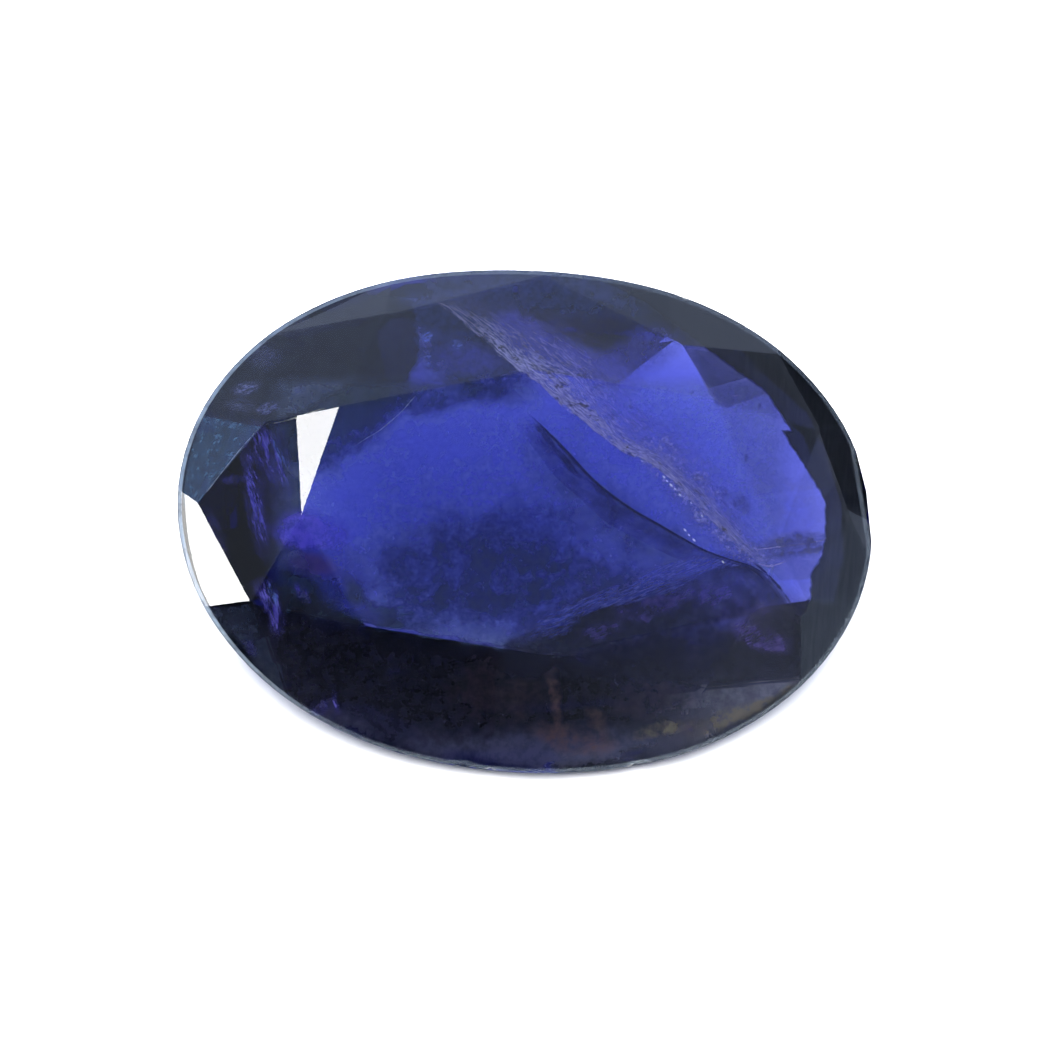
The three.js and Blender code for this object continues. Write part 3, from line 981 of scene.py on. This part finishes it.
CRACK_LINES = (
    (2.2, (742, 556), (757, 565), (771, 578), (785, 595), (793, 608), (800, 618)),
    (1.2, (735, 566), (752, 570), (768, 584), (780, 600), (790, 612)),
)
ribbons("short_cracks", CRACK_LINES, 0.25, strand_finish("dark_strand", (0.01, 0.01, 0.03), 0.95),
        "smoky_cloud", 30)
BAND_EDGE = (
    (1, (745, 551), (770, 548), (795, 545), (820, 541), (838, 535)),
    (1, (757, 563), (770, 566), (790, 560)),
)
ribbons("band_edge", BAND_EDGE, 0.2, strand_finish("pale_strand", (0.7, 0.62, 0.75), 0.9),
        "healed_crack", 30)

# %% [markdown]
# ## Pale strands
# A light blue strand branches off where the two cracks meet and runs to the lower left, over a dark
# ground with violet mottles. Bright specks, painted glints with a little glow of their own, sit along the
# cracks, and small light spots are scattered at the upper left. The strand and the spots are veils, and the
# glints are very short ribbons.

# %% Pale strands
STRAND_BOX = (480, 540, 810, 690)
STRAND_UNDER = [(505, 642), (600, 604), (742, 557), (772, 580), (800, 618), (800, 680), (505, 680)]
STRANDS = (
    (600, 600, 120, 13, -20, 1), (690, 566, 70, 11, -8, 1), (740, 560, 34, 9, 10, 0.8),
    (655, 590, 70, 10, -18, 0.5), (555, 628, 40, 14, -20, 0.4),
)
MOTTLES = (
    (735, 606, 60, 40, 10, 0.45), (690, 595, 60, 20, -8, 0.4), (645, 606, 50, 20, -12, 0.6),
    (600, 632, 34, 12, -12, 0.8), (766, 641, 46, 16, 18, 0.8), (648, 617, 8, 7, 0, 1.2),
    (662, 601, 18, 7, -10, 0.7),
)


def paint_strands(pixels, ragged):
    light = pixels.warped(0.05, 10)
    fibres = pixels.warped(0.04, 14).fibres(3.5, 40, 70, 0.4, 0.66)
    fine = pixels.fibres(1.6, 12, 66, 0.4, 0.66)
    small = pixels.clouds(0.07, 3, 0.5, 0.3, 0.75)
    under = pixels.warped(0.04, 6).within(STRAND_UNDER, 4)
    strand = (light.patches(STRANDS) * (fibres * 0.4 + fine * 0.2 + 0.3)).capped(0.8)
    violet = (light.patches(MOTTLES) * (small * 0.3 + fine * 0.15 + 0.2)).capped(0.6)
    mottle = small.mixed((0.08, 0.06, 0.2), (0.28, 0.2, 0.6))
    colour = violet.fade(0, 0.5).mixed((0.01, 0.012, 0.03), mottle)
    colour = strand.fade(0, 0.5).mixed(colour, fine.mixed((0.12, 0.15, 0.6), (0.36, 0.4, 0.95)))
    dark = under * (0.78 - small * 0.2)
    return colour, dark.or_more(strand + violet)


veil("blue_strands", STRAND_BOX, 0.3, paint_strands, "healed_crack")

# Painted glints: white specks that glow a little.
GLINT_PLACES = (
    (664, 477, 1.3), (667, 481, 1), (671, 485, 1.4), (675, 489, 1), (680, 495, 1.3), (685, 530, 1.3),
    (689, 535, 1), (694, 540, 1.4), (691, 503, 0.9), (642, 461, 0.8), (702, 516, 1), (723, 562, 1.2),
)
GLINTS = [(size, (x - size, y - size), (x, y), (x + size, y + size)) for x, y, size in GLINT_PLACES]
ribbons("painted_glints", GLINTS, 0.15,
        film_finish("painted_glint", lambda uv, u, v: ((0.95, 0.95, 1.0), v.fade(0, 0.4) * v.fade(1, 0.6)),
                    Emission_Color=(0.7, 0.75, 1.0), Emission_Strength=0.4),
        "healed_crack", 6)

SPOT_BOX = (190, 290, 500, 440)
SPOTS = (
    (246, 388, 18, 9, -15, 1.1), (268, 408, 16, 8, -15, 1.1), (299, 390, 10, 7, -30, 0.6),
    (264, 356, 24, 18, 0, 0.4), (300, 318, 14, 8, 0, 0.3), (240, 405, 20, 10, 0, 0.4),
    (427, 337, 9, 8, 0, 1.6), (457, 345, 9, 7, 20, 1), (426, 357, 9, 4, 0, 1), (428, 364, 9, 3, 0, 0.9),
    (432, 374, 14, 5, 0, 0.5), (414, 300, 26, 14, 0, 0.3), (450, 392, 30, 8, -10, 0.3),
)


def paint_spots(pixels, ragged):
    streaks = pixels.warped(0.06, 6).fibres(2, 8, 72, 0.4, 0.7)
    fine = pixels.clouds(0.3, 5, 0.75, 0.35, 0.7)
    spots = pixels.warped(0.08, 4).patches(SPOTS)
    colour = pixels.part(0).fade(300, 400).mixed((0.42, 0.46, 0.75), (0.32, 0.42, 1.0))
    return colour, (spots * (streaks * 0.8 + fine * 0.3)).capped(0.85)


veil("light_spots", SPOT_BOX, 0.25, paint_spots, "healed_crack")

# %% [markdown]
# ## A fine scratch and light edge lines
# A hair-fine pale scratch crosses the upper left of the table. A slightly yellow pale line lies along the
# edge above the white corner, and the edge between the two left facets shows a thin light line, a painted
# highlight.

# %% Scratch and edge lines
# The first strip is the scratch, and the second is a painted highlight along an edge.
SCRATCH_AND_EDGE_HIGHLIGHT = (
    (0.7, (345, 453), (362, 441), (380, 430), (400, 413), (410, 402), (418, 393)),
    (0.8, (262, 425), (243, 446), (222, 472), (200, 501)),
)
ribbons("scratch_and_edge_highlight", SCRATCH_AND_EDGE_HIGHLIGHT, 0.05, strand_finish("scratch_and_highlight", (0.55, 0.62, 0.75), 0.9),
        "ground_girdle", 40)
YELLOW_EDGE_LINE = ((1.3, (263, 425), (280, 422), (298, 417), (315, 411), (330, 407)),)
ribbons("worn_edge", YELLOW_EDGE_LINE, 0.05, strand_finish("worn", (0.6, 0.58, 0.4), 0.9), "ground_girdle", 40)

# %% [markdown]
# ## Streaks at the left
# Behind the dark left facets run violet-blue streaks. The bluish colour of the facet above them is a
# painted reflection, mottled like frost. The window's left end glows violet-blue, a glow painted on a veil,
# with a dark purple and a teal place in it.

# %% Left streaks
STREAK_BOX = (196, 408, 345, 740)
STREAKS = (
    (266, 452, 46, 15, 62, 0.9), (250, 470, 44, 9, 78, 0.9), (257, 520, 50, 11, 78, 0.9),
    (263, 438, 22, 12, 10, 0.8), (271, 600, 26, 12, 72, 1), (277, 622, 22, 10, 85, 0.9),
    (262, 590, 16, 10, 60, 0.5), (302, 594, 16, 9, 60, 0.6), (216, 532, 40, 8, 66, 0.3),
    (284, 460, 50, 12, 80, 0.35), (234, 480, 18, 5, -8, 0.6), (318, 712, 24, 9, -45, 0.5),
    (335, 704, 20, 5, 88, 0.6), (250, 648, 14, 7, 60, 0.5), (268, 500, 60, 30, 80, 0.25),
)
LIGHT_STREAKS = ((280, 452, 30, 5, 66, 0.5), (272, 592, 18, 4, 70, 0.6))


def paint_streaks(pixels, ragged):
    coarse = pixels.warped(0.03, 20).fibres(6, 34, -14, 0.4, 0.68)
    fine = pixels.fibres(2, 14, -20, 0.35, 0.7)
    rough = pixels.warped(0.07, 9)
    streaks = rough.patches(STREAKS) * (coarse * 0.75 + fine * 0.35)
    light = rough.patches(LIGHT_STREAKS)
    colour = light.mixed(fine.mixed((0.09, 0.07, 0.38), (0.28, 0.24, 0.75)), (0.3, 0.5, 0.9))
    return colour, (streaks + light * fine * 0.5).capped(0.85)


veil("left_streaks", STREAK_BOX, 0.3, paint_streaks, "healed_crack")

# Painted reflection: the bluish colour of the rim facet at the upper left, just under its surface.
BLUISH_FACET_OUTER = ((183, 506), (184, 490), (188, 465), (196, 436), (204, 416))
BLUISH_FACET_INNER = ((198, 503), (213, 484), (229, 465), (245, 446), (261, 427))


def paint_facet_reflection(uv, u, v):
    small = uv.stretched(9, 6, 1).clouds(1, 6, 0.7, 0.3, 0.72)
    return (0.14, 0.32, 0.5), small * 0.5 + 0.12


film("frosted_facet", BLUISH_FACET_OUTER, BLUISH_FACET_INNER, (0.1, 0.1), paint_facet_reflection, "healed_crack", 24, 12)

# A painted glow: the bright violet-blue of the window's left end.
LEFT_BOX = (262, 495, 400, 640)
LEFT_GLOW = (
    (300, 530, 32, 26, 0, 1.2), (324, 538, 34, 30, 0, 0.8), (340, 578, 46, 34, 50, 0.6),
    (362, 612, 30, 14, 20, 0.5),
)
LEFT_PURPLE = ((310, 564, 40, 18, 12, 1),)
LEFT_TEAL = ((354, 594, 26, 16, 50, 0.8),)


def paint_left(pixels, ragged):
    small = pixels.clouds(0.1, 6, 0.7, 0.38, 0.66)
    light = pixels.warped(0.04, 10)
    above = pixels.warped(0.03, 5).part(1).fade(551, 546)
    glow = light.patches(LEFT_GLOW) * (0.95 - small * 0.4)
    purple = light.patches(LEFT_PURPLE) * (1 - above)
    teal = ragged.patches(LEFT_TEAL)
    blue = above.mixed((0.1, 0.12, 0.55), small.mixed((0.24, 0.18, 0.8), (0.14, 0.13, 0.6)))
    colour = purple.mixed(blue, (0.12, 0.08, 0.24))
    return teal.mixed(colour, (0.06, 0.1, 0.12)), (glow + purple * 0.6 + teal * 0.5).capped(0.85)


veil("left_glow", LEFT_BOX, 0.35, paint_left, "healed_crack")

# %% [markdown]
# ## The ground girdle
# The girdle is ground and left unpolished, so it shows as a thin pale line round the stone. The line is
# strongest at the left, a painted highlight where that side catches the light. It is a skin a hair under
# the surface, laid by looking at the stone from outside at each bearing and level.

# %% Girdle skin
SKIN_DEPTH = 0.008 * MM
GIRDLE_LEVEL = -0.28 * MM  # a level on the girdle, below the table's side of the rim
EDGE_START, EDGE_REACH = 0.012 * MM, 0.1 * MM  # how far in from the outline the upper edge's strip lies
WALL_SHARE = 0.5
FAR_OUT = 0.02


def just_under(start, towards):
    """The point a hair under the stone's surface, where a line from outside meets it."""
    place, facet_way, _, _ = skin.ray_cast(start, towards)
    return place - facet_way * SKIN_DEPTH


def girdle_rule(u, v):
    out = on_rim(2 * math.pi * u).normalized()
    wall = just_under(middle + table_way * GIRDLE_LEVEL + out * FAR_OUT, -out)
    inward = EDGE_START + (EDGE_REACH - EDGE_START) * max(0, (v - WALL_SHARE) / (1 - WALL_SHARE))
    edge = just_under(wall + table_way * FAR_OUT - out * inward, -table_way)
    if v >= WALL_SHARE:
        return edge
    height = (edge - wall).dot(table_way) * v / WALL_SHARE
    return wall + table_way * height


def paint_girdle(uv, u, v):
    grain = coordinates(uv.tree, "object").clouds(3 / MM, 4, 0.7, 0.25, 0.6)
    # Painted highlight: the pale line is stronger at the left.
    left = u.fade(0.2, 0.45) * u.fade(0.66, 0.54)
    edge = v.fade(WALL_SHARE - 0.1, WALL_SHARE) * v.fade(1.0, 0.85) * (left * 0.65 + 0.2) + 0.08
    return (0.72, 0.82, 0.88), edge * (grain * 0.5 + 0.5)


put_inside(laid_sheet("girdle_skin", 256, 8, girdle_rule), film_finish("ground_skin", paint_girdle, 0.8),
           "ground_girdle")
